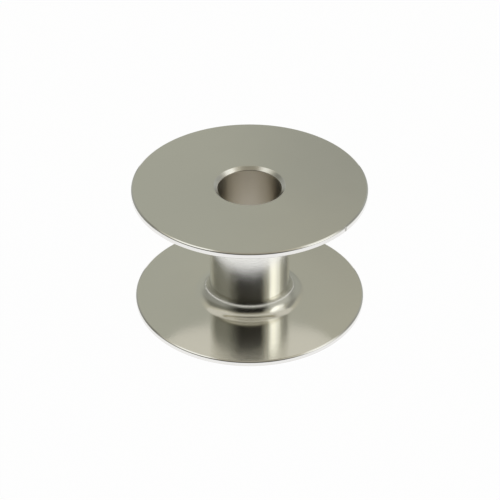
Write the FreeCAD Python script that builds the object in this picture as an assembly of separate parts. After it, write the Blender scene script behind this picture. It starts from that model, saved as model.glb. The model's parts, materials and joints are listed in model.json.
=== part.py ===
import FreeCAD, Part
import math
import os

# Steel bobbin turned in one piece: a barrel with a bore right through it and a plain flange at each end.
# Millimetres, +Z up along the axis, origin at the centre of the face that it stands on.

# Whole bobbin
overall_height = 15.0
flange_diameter = 26.0

# Flanges
flange_thickness = 0.65
flange_edge_bevel = 0.18

# Bore, chamfered at both mouths
bore_diameter = 7.0
bore_chamfer_width = 0.4
bore_chamfer_depth = 0.3

# Barrel round the bore, blended into the inner face of each flange
barrel_wall = 1.0
barrel_root_radius = 1.65

# Small nick in the rim of the upper flange, its place counted from the front towards +X
nick_angle = 51.5
nick_width = 0.2
nick_depth = 0.12

flange_radius = flange_diameter / 2
bore_radius = bore_diameter / 2
mouth_radius = bore_radius + bore_chamfer_width
barrel_radius = bore_radius + barrel_wall
lower_inner_face = flange_thickness
upper_inner_face = overall_height - flange_thickness


def point(radius, height):
    return FreeCAD.Vector(radius, 0, height)


def chain(corners):
    # Straight edges from each corner of the section to the next
    return [Part.LineSegment(point(*a), point(*b)).toShape() for a, b in zip(corners, corners[1:])]


def rim(bottom):
    # Corners of a flange's rim from its lower face up, with both edges bevelled
    top = bottom + flange_thickness
    return [
        (flange_radius - flange_edge_bevel, bottom),
        (flange_radius, bottom + flange_edge_bevel),
        (flange_radius, top - flange_edge_bevel),
        (flange_radius - flange_edge_bevel, top),
    ]


def root(face_height, way):
    # Foot on a flange's inner face, arc and head on the barrel; way is 1 upward and -1 downward
    sag = barrel_root_radius * (1 - math.sqrt(0.5))
    foot = (barrel_radius + barrel_root_radius, face_height)
    middle = (barrel_radius + sag, face_height + way * sag)
    head = (barrel_radius, face_height + way * barrel_root_radius)
    return foot, Part.Arc(point(*foot), point(*middle), point(*head)).toShape(), head


def turned_body():
    # Half section of the whole bobbin, walked round from the upper mouth of the bore, and turned about the axis
    lower_foot, lower_arc, lower_head = root(lower_inner_face, 1)
    upper_foot, upper_arc, upper_head = root(upper_inner_face, -1)
    upper_bore_edge = (bore_radius, overall_height - bore_chamfer_depth)
    bore = [upper_bore_edge, (bore_radius, bore_chamfer_depth), (mouth_radius, 0)]
    lower_flange = chain(bore + rim(0) + [lower_foot])
    barrel = [lower_arc] + chain([lower_head, upper_head]) + [upper_arc]
    upper_flange = chain([upper_foot] + rim(upper_inner_face) + [(mouth_radius, overall_height), upper_bore_edge])
    section = Part.Face(Part.Wire(lower_flange + barrel + upper_flange))
    return section.revolve(FreeCAD.Vector(0, 0, 0), FreeCAD.Vector(0, 0, 1), 360)


def rim_nick():
    # Upright wedge across the upper flange's rim, as deep outside the rim as inside it
    edge = FreeCAD.Vector(0, nick_depth - flange_radius, upper_inner_face)
    right = edge + FreeCAD.Vector(nick_width, -2 * nick_depth, 0)
    left = edge + FreeCAD.Vector(-nick_width, -2 * nick_depth, 0)
    section = Part.Face(Part.makePolygon([edge, right, left, edge]))
    wedge = section.extrude(FreeCAD.Vector(0, 0, flange_thickness))
    wedge.rotate(FreeCAD.Vector(0, 0, 0), FreeCAD.Vector(0, 0, 1), nick_angle)
    return wedge


bobbin = turned_body().cut(rim_nick()).Solids[0]
os.makedirs("parts", exist_ok=True)
bobbin.exportStep("parts/bobbin.step")
print("bobbin valid", bobbin.isValid(), "volume", round(bobbin.Volume, 3), "box", bobbin.optimalBoundingBox())
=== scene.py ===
import json
import math
import bpy
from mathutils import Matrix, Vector


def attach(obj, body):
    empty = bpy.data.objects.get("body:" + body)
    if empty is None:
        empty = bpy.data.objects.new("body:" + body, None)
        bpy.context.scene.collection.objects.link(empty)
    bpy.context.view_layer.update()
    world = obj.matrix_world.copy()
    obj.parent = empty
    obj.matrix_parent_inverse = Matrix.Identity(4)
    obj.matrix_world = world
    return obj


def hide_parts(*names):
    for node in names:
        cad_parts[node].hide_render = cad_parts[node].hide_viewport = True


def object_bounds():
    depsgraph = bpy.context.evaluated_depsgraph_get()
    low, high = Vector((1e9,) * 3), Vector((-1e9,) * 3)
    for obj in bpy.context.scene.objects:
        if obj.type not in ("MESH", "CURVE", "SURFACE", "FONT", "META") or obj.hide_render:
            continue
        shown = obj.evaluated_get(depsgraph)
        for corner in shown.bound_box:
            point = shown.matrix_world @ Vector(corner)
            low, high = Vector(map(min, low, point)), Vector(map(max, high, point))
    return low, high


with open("model.json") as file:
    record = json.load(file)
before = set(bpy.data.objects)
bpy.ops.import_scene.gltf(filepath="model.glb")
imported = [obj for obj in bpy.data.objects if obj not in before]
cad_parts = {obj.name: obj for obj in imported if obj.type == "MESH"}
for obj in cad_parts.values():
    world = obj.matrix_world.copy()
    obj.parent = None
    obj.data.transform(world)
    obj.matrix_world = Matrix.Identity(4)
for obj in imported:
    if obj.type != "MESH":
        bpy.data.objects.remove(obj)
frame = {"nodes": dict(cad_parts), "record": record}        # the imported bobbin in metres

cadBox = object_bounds()
mm = 0.001
scene = bpy.context.scene
scene.view_settings.view_transform = "Standard"
print("frame loaded:", ", ".join(sorted(frame["nodes"])))

# sizes that the CAD model already has
flangeRadius = cadBox[1].x
totalHeight = cadBox[1].z
boreMount = next(m for m in frame["record"]["mounts"] if m["name"] == "spindle_bore")
boreRadius = boreMount["dims"]["r_mm"] * mm

mixUnder, mixOver, mixResult = 6, 7, 2    # colour sockets of a mix node


# nodes of a material or world, with their inputs set or linked
def addNode(tree, kind, inputs=None, **settings):
    node = tree.nodes.new(kind)
    for key, value in settings.items():
        setattr(node, key, value)
    for key, value in (inputs or {}).items():
        if isinstance(value, bpy.types.NodeSocket):
            tree.links.new(value, node.inputs[key])
        else:
            node.inputs[key].default_value = value
    return node


def newMaterial(name):
    material = bpy.data.materials.new(name)
    material.use_nodes = True
    material.node_tree.nodes.clear()
    return material, material.node_tree


# finishes of the nickel plate, by where they lie on the bobbin; their colours hold painted light and
# shade: the barrel, edges and chamfers are painted lighter and the faces and roots darker, with the bore
# between and a little warmer
# roughness runs from the glossiest to the dullest spots
# turning is how far the lathe's marks blur the gloss across them
nickelFinishesAndPaintedLight = {
    "face": {
        "pale": (0.755, 0.74, 0.675), "deep": (0.735, 0.72, 0.655),
        "roughness": (0.1, 0.12), "turning": 0.88,
        "cloudsPerMm": 0.35, "grainPerMm": 4.0, "grainHeight": 0.003 * mm,
    },
    "root": {
        "pale": (0.745, 0.73, 0.67), "deep": (0.725, 0.71, 0.65),
        "roughness": (0.13, 0.15), "turning": 0.92,
        "cloudsPerMm": 0.5, "grainPerMm": 6.0, "grainHeight": 0.003 * mm,
    },
    # the barrel's colour is painted lighter than the faces and roots
    "barrel": {
        "pale": (0.885, 0.88, 0.845), "deep": (0.865, 0.86, 0.825),
        "roughness": (0.11, 0.14), "turning": 0.95,
        "cloudsPerMm": 0.5, "grainPerMm": 9.0, "grainHeight": 0.007 * mm,
    },
    "edge": {
        "pale": (0.85, 0.84, 0.82), "deep": (0.83, 0.82, 0.8),
        "roughness": (0.08, 0.1), "turning": 0.0,
        "cloudsPerMm": 0.5, "grainPerMm": 4.0, "grainHeight": 0.002 * mm,
    },
    "chamfer": {
        "pale": (0.84, 0.83, 0.8), "deep": (0.82, 0.81, 0.78),
        "roughness": (0.2, 0.23), "turning": 0.0,
        "cloudsPerMm": 0.5, "grainPerMm": 4.0, "grainHeight": 0.002 * mm,
    },
    "bore": {
        "pale": (0.795, 0.76, 0.69), "deep": (0.775, 0.74, 0.67),
        "roughness": (0.28, 0.3), "turning": 0.92,
        "cloudsPerMm": 0.5, "grainPerMm": 6.0, "grainHeight": 0.0002 * mm,
    },
    "nick": {
        "pale": (0.62, 0.61, 0.57), "deep": (0.56, 0.55, 0.52),
        "roughness": (0.35, 0.42), "turning": 0.0,
        "cloudsPerMm": 2.0, "grainPerMm": 12.0, "grainHeight": 0.006 * mm,
    },
}

# what all the finishes share
plateLook = {
    "cloudDetail": 3.0,
    "grainDetail": 2.0,
    "cloudSpan": (0.3, 0.7),      # cloud values of the glossiest and the dullest spots
    "blurTurn": 0.25,             # quarter turn, from along the lathe's marks to across them
}


# nickel plate: broad cloudy tint and gloss, fine grain, and lathe marks that blur the gloss
def nickelPlate(name, look):
    material, tree = newMaterial(name)
    place = addNode(tree, "ShaderNodeTexCoord")
    inMm = addNode(tree, "ShaderNodeVectorMath", {
        0: place.outputs["Object"], "Scale": 1 / mm}, operation="SCALE")
    cloud = addNode(tree, "ShaderNodeTexNoise", {
        "Vector": inMm.outputs[0], "Scale": look["cloudsPerMm"], "Detail": plateLook["cloudDetail"]})
    grain = addNode(tree, "ShaderNodeTexNoise", {
        "Vector": inMm.outputs[0], "Scale": look["grainPerMm"], "Detail": plateLook["grainDetail"]})
    tint = addNode(tree, "ShaderNodeMix", {
        "Factor": cloud.outputs["Fac"],
        mixUnder: (*look["deep"], 1), mixOver: (*look["pale"], 1)}, data_type="RGBA")
    gloss = addNode(tree, "ShaderNodeMapRange", {
        "Value": cloud.outputs["Fac"],
        "From Min": plateLook["cloudSpan"][0], "From Max": plateLook["cloudSpan"][1],
        "To Min": look["roughness"][0], "To Max": look["roughness"][1]})
    bump = addNode(tree, "ShaderNodeBump", {
        "Height": grain.outputs["Fac"], "Strength": 1.0, "Distance": look["grainHeight"]})
    roundAxis = addNode(tree, "ShaderNodeTangent", direction_type="RADIAL", axis="Z")
    metal = addNode(tree, "ShaderNodeBsdfPrincipled", {
        "Base Color": tint.outputs[mixResult], "Metallic": 1.0, "Roughness": gloss.outputs[0],
        "Normal": bump.outputs[0], "Tangent": roundAxis.outputs[0],
        "Anisotropic": look["turning"], "Anisotropic Rotation": plateLook["blurTurn"]})
    addNode(tree, "ShaderNodeOutputMaterial", {"Surface": metal.outputs[0]})
    return material


# turned section: corners (radius, height, reach of the rounding, finish of the stretch that follows)
# points come back as (radius, height, normal radius, normal height, finish), with the metal on the left
def roundedSection(corners, stepAngle=4):      # about one point for each 4 degrees of a rounding
    outline = []
    for i, (r, z, reach, finish) in enumerate(corners):
        here = Vector((r, z))
        wayIn = (here - Vector(corners[i - 1][:2])).normalized()
        wayOut = (Vector(corners[(i + 1) % len(corners)][:2]) - here).normalized()
        steps = math.ceil(math.degrees(wayIn.angle(wayOut)) / stepAngle) if reach else 0
        for s in range(steps + 1):
            t = math.pi / 2 * s / max(steps, 1)
            point = here + reach * (wayOut * (1 - math.cos(t)) - wayIn * (1 - math.sin(t)))
            way = (wayIn * math.cos(t) + wayOut * math.sin(t)).normalized()
            outline.append((point.x, point.y, way.y, -way.x, finish))
    return outline


bobbinLook = {
    "flangeThickness": 0.65 * mm,
    "lowerEdgeReach": 0.12 * mm,  # edges of both flanges
    "upperEdgeReach": 0.088 * mm,
    "bevelWidth": 0.19 * mm,
    "bevelDrop": 0.112 * mm,
    "bevelReach": 0.012 * mm,
    "barrelRadius": 4.5 * mm,
    "rootReach": 1.7 * mm,
    "rootTop": 1.9 * mm,          # the barrel's own finish starts there, painted lighter than the root below it
    "chamferWidth": 0.44 * mm,
    "chamferDepth": 0.34 * mm,
    "chamferReach": 0.017 * mm,
    "boreReach": 0.06 * mm,
    "dishRadius": 9.6 * mm,       # inside it the flanges thin a little towards the barrel
    "dishSlope": 0.016,
    "dishReach": 1.45 * mm,
    "columns": 288,
    "nickAngle": math.radians(51.5),      # counted from the front (-Y) towards +X
    "nickWidth": 0.3 * mm,
    "nickDepth": 0.15 * mm,
    "nickColumns": 9,
}
nickHalfAngle = bobbinLook["nickWidth"] / 2 / flangeRadius


def bobbinOutline():
    look = bobbinLook
    mouthRadius, barrelRadius = boreRadius + look["chamferWidth"], look["barrelRadius"]
    dishFall = (look["dishRadius"] - barrelRadius) * look["dishSlope"]
    lowerInner, upperInner = look["flangeThickness"], totalHeight - look["flangeThickness"]
    lowerRoot, upperRoot = lowerInner - dishFall, upperInner + dishFall

    def rim(bottom, top):
        return [(flangeRadius, bottom, look["lowerEdgeReach"], "edge"),
                (flangeRadius, top - look["bevelDrop"], look["upperEdgeReach"], "edge"),
                (flangeRadius - look["bevelWidth"], top, look["bevelReach"], "face")]

    return roundedSection([
        (mouthRadius, 0, look["chamferReach"], "face"),
        *rim(0, lowerInner),
        (look["dishRadius"], lowerInner, look["dishReach"], "face"),
        (barrelRadius, lowerRoot, look["rootReach"], "root"),
        (barrelRadius, lowerRoot + look["rootTop"], 0, "barrel"),
        (barrelRadius, upperRoot - look["rootTop"], 0, "root"),
        (barrelRadius, upperRoot, look["rootReach"], "face"),
        (look["dishRadius"], upperInner, look["dishReach"], "face"),
        *rim(upperInner, totalHeight),
        (mouthRadius, totalHeight, look["chamferReach"], "chamfer"),
        (boreRadius, totalHeight - look["chamferDepth"], look["boreReach"], "bore"),
        (boreRadius, look["chamferDepth"], look["boreReach"], "chamfer"),
    ])


# radius that the nick leaves in the upper rim at an angle, or None away from it
def nickReach(angle):
    off = abs(angle - bobbinLook["nickAngle"]) / nickHalfAngle
    return flangeRadius - bobbinLook["nickDepth"] * (1 - off) if off < 1 else None


def makeBobbin():
    look = bobbinLook
    outline = bobbinOutline()
    lastNick = look["nickColumns"] - 1
    evenAngles = [2 * math.pi * k / look["columns"] for k in range(look["columns"])]
    nickAngles = [look["nickAngle"] + nickHalfAngle * (2 * k / lastNick - 1) for k in range(lastNick + 1)]
    angles = sorted(evenAngles + nickAngles)
    points, normals, cutPoints = [], [], set()
    for angle in angles:
        sine, cosine = math.sin(angle), -math.cos(angle)
        reach = nickReach(angle)
        for r, z, nr, nz, finish in outline:
            if reach is not None and r > reach and z > totalHeight / 2:
                r = reach
                cutPoints.add(len(points))
            points.append((r * sine, r * cosine, z))
            normals.append((nr * sine, nr * cosine, nz))
    rows, columns = len(outline), len(angles)
    faces, faceFinish = [], []
    finishNames = list(nickelFinishesAndPaintedLight)
    for k in range(columns):
        nextK = (k + 1) % columns
        for j in range(rows):
            nextJ = (j + 1) % rows
            face = (k * rows + j, nextK * rows + j, nextK * rows + nextJ, k * rows + nextJ)
            faces.append(face)
            faceFinish.append(finishNames.index("nick" if cutPoints.intersection(face) else outline[j][4]))
    mesh = bpy.data.meshes.new("bobbinBody")
    mesh.from_pydata(points, [], faces)
    for name in finishNames:
        mesh.materials.append(nickelPlate("nickel" + name.capitalize(), nickelFinishesAndPaintedLight[name]))
    mesh.polygons.foreach_set("material_index", faceFinish)
    mesh.polygons.foreach_set("use_smooth", [True] * len(faces))
    mesh.update()
    for v in cutPoints:                    # the nick takes the normals of its own faces
        normals[v] = mesh.vertices[v].normal.copy()
    mesh.normals_split_custom_set_from_vertices(normals)
    piece = bpy.data.objects.new("bobbinBody", mesh)
    scene.collection.objects.link(piece)
    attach(piece, "root")
    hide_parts("bobbin")


makeBobbin()
print("bobbin turned")

# pale floor: mostly plain white to the camera and in the metal, with a trace of the bobbin's shadow
floorLook = {"size": 1.2, "colour": (0.92, 0.92, 0.92), "plainShare": 0.98}


def makeFloor():
    half = floorLook["size"] / 2
    mesh = bpy.data.meshes.new("floor")
    mesh.from_pydata([(-half, -half, 0), (half, -half, 0), (half, half, 0), (-half, half, 0)],
                     [], [(0, 1, 2, 3)])
    floor = bpy.data.objects.new("floor", mesh)
    scene.collection.objects.link(floor)
    material, tree = newMaterial("paleFloor")
    path = addNode(tree, "ShaderNodeLightPath")
    glossy = addNode(tree, "ShaderNodeMath", {
        0: path.outputs["Is Glossy Ray"], 1: path.outputs["Is Transmission Ray"]}, operation="MAXIMUM")
    seen = addNode(tree, "ShaderNodeMath", {
        0: path.outputs["Is Camera Ray"], 1: glossy.outputs[0]}, operation="MAXIMUM")
    share = addNode(tree, "ShaderNodeMath", {
        0: seen.outputs[0], 1: floorLook["plainShare"]}, operation="MULTIPLY")
    lit = addNode(tree, "ShaderNodeBsdfDiffuse", {"Color": (*floorLook["colour"], 1)})
    plain = addNode(tree, "ShaderNodeEmission", {"Color": (1, 1, 1, 1), "Strength": 1.0})
    mixed = addNode(tree, "ShaderNodeMixShader", {
        0: share.outputs[0], 1: lit.outputs[0], 2: plain.outputs[0]})
    addNode(tree, "ShaderNodeOutputMaterial", {"Surface": mixed.outputs[0]})
    mesh.materials.append(material)


makeFloor()

# studio: a dome, brightest at about 60 degrees, with walls and then oval soft boxes laid over it in turn
# angles in degrees, azimuth counted from the camera's side (-Y) towards +X
studioDome = {0: (0.31, 0.315, 0.29), 26: (0.33, 0.335, 0.305), 42: (0.54, 0.53, 0.45),
              60: (0.66, 0.63, 0.51), 80: (0.34, 0.32, 0.26)}
studioWalls = {
    "back": {
        "azimuth": 180, "halfWide": 16, "softSides": (6, 6),
        "elevation": (18, 33), "softEnds": (6, 5), "colour": (0.365, 0.375, 0.345),
    },
    "backLeft": {
        "azimuth": -163, "halfWide": 18, "softSides": (4, 15),
        "elevation": (6, 42), "softEnds": (6, 8), "colour": (0.465, 0.475, 0.425),
    },
    "backLow": {
        "azimuth": 150, "halfWide": 18, "softSides": (10, 6),
        "elevation": (6, 32), "softEnds": (6, 6), "colour": (0.42, 0.43, 0.39),
    },
    "backRight": {
        "azimuth": 130, "halfWide": 14, "softSides": (12, 8),
        "elevation": (31, 54), "softEnds": (6, 6), "colour": (0.27, 0.27, 0.245),
    },
    "left": {
        "azimuth": -83, "halfWide": 48, "softSides": (16, 10),
        "elevation": (27, 46), "softEnds": (4, 5), "colour": (0.195, 0.195, 0.165),
    },
    "right": {
        "azimuth": 83, "halfWide": 33, "softSides": (10, 14),
        "elevation": (-10, 30), "softEnds": (1, 8), "colour": (0.56, 0.565, 0.52),
    },
    "ceiling": {
        "azimuth": 0, "halfWide": 52, "softSides": (18, 18),
        "elevation": (52, 78), "softEnds": (3, 5), "colour": (0.29, 0.272, 0.21),
    },
    "cameraSide": {
        "azimuth": -3, "halfWide": 47, "softSides": (26, 14),
        "elevation": (10, 50), "softEnds": (6, 5), "colour": (0.012, 0.011, 0.009),
    },
}
softBoxes = {
    "right": {"azimuth": 82, "elevation": 43, "halfWide": 19, "halfHigh": 18, "softness": 0.3,
              "colour": (1.15, 1.15, 1.08)},
    "rightCore": {"azimuth": 73, "elevation": 40, "halfWide": 12, "halfHigh": 14, "softness": 0.35,
                  "colour": (1.55, 1.55, 1.45)},
    "rightTop": {"azimuth": 106, "elevation": 58, "halfWide": 17, "halfHigh": 11, "softness": 0.35,
                 "colour": (0.9, 0.9, 0.83)},
    "left": {"azimuth": -95, "elevation": 64, "halfWide": 34, "halfHigh": 10, "softness": 0.35,
             "colour": (1.05, 1.05, 0.98)},
}
zenith = 90.0
halfTurn = 180.0


# unit vector from the object, azimuth counted from the camera's side (-Y) towards +X
def directionAt(azimuth, elevation):
    a, e = math.radians(azimuth), math.radians(elevation)
    return Vector((math.sin(a) * math.cos(e), -math.cos(a) * math.cos(e), math.sin(e)))


def makeStudio():
    world = bpy.data.worlds.new("studio")
    world.use_nodes = True
    scene.world = world
    tree = world.node_tree
    tree.nodes.clear()

    def calculate(operation, *values):
        return addNode(tree, "ShaderNodeMath", dict(enumerate(values)), operation=operation).outputs[0]

    def fade(value, start, stop, low=0.0, high=1.0):      # smooth step from low at start to high at stop
        return addNode(tree, "ShaderNodeMapRange", {
            "Value": value, "From Min": start, "From Max": stop, "To Min": low, "To Max": high},
            interpolation_type="SMOOTHSTEP").outputs[0]

    def between(angle, edges, softness):
        inFrom = fade(angle, edges[0] - softness[0], edges[0] + softness[0])
        outFrom = fade(angle, edges[1] - softness[1], edges[1] + softness[1], 1.0, 0.0)
        return calculate("MULTIPLY", inFrom, outFrom)

    def overlay(share, under, colour):
        return addNode(tree, "ShaderNodeMix", {
            "Factor": share, mixUnder: under, mixOver: (*colour, 1)}, data_type="RGBA").outputs[mixResult]

    place = addNode(tree, "ShaderNodeTexCoord")
    axes = addNode(tree, "ShaderNodeSeparateXYZ", {0: place.outputs["Generated"]})
    forward = calculate("MULTIPLY", axes.outputs["Y"], -1.0)
    azimuth = calculate("DEGREES", calculate("ARCTAN2", axes.outputs["X"], forward))
    elevation = calculate("DEGREES", calculate("ARCSINE", axes.outputs["Z"]))

    def turnFrom(middle):
        return calculate("WRAP", calculate("SUBTRACT", azimuth, middle), halfTurn, -halfTurn)

    upward = addNode(tree, "ShaderNodeValToRGB", {"Fac": calculate("DIVIDE", elevation, zenith)})
    stops = upward.color_ramp.elements
    while len(stops) < len(studioDome):
        stops.new(0.5)                     # its place is set below
    for stop, (angle, colour) in zip(stops, sorted(studioDome.items())):
        stop.position = angle / zenith
        stop.color = (*colour, 1)
    light = upward.outputs["Color"]
    for wall in studioWalls.values():
        sides = (-wall["halfWide"], wall["halfWide"])
        share = calculate("MULTIPLY", between(turnFrom(wall["azimuth"]), sides, wall["softSides"]),
                          between(elevation, wall["elevation"], wall["softEnds"]))
        light = overlay(share, light, wall["colour"])
    for box in softBoxes.values():
        rise = calculate("SUBTRACT", elevation, box["elevation"])
        wide = calculate("POWER", calculate("DIVIDE", turnFrom(box["azimuth"]), box["halfWide"]), 2.0)
        high = calculate("POWER", calculate("DIVIDE", rise, box["halfHigh"]), 2.0)
        reach = calculate("SQRT", calculate("ADD", wide, high))
        share = fade(reach, 1 - box["softness"], 1 + box["softness"], 1.0, 0.0)
        light = overlay(share, light, box["colour"])
    glow = addNode(tree, "ShaderNodeBackground", {"Color": light, "Strength": 1.0})
    addNode(tree, "ShaderNodeOutputWorld", {"Surface": glow.outputs[0]})


makeStudio()
print("floor and studio set")

# camera as the photograph has it, worked out for a picture 500 pixels wide
cameraLook = {"elevation": 35.38, "distance": 191.4 * mm, "aim": (0.047 * mm, 0.0, 6.286 * mm),
              "focalPixels": 1701.7, "pictureWidth": 500, "sensorWidth": 36.0, "clip": (0.01, 10.0)}


def makeCamera():
    data = bpy.data.cameras.new("photoCamera")
    data.sensor_width = cameraLook["sensorWidth"]
    data.lens = data.sensor_width * cameraLook["focalPixels"] / cameraLook["pictureWidth"]
    data.clip_start, data.clip_end = cameraLook["clip"]
    camera = bpy.data.objects.new("photoCamera", data)
    outward = directionAt(0, cameraLook["elevation"])
    camera.location = Vector(cameraLook["aim"]) + outward * cameraLook["distance"]
    camera.rotation_euler = outward.to_track_quat("Z", "Y").to_euler()
    scene.collection.objects.link(camera)
    scene.camera = camera


makeCamera()
print("camera placed")
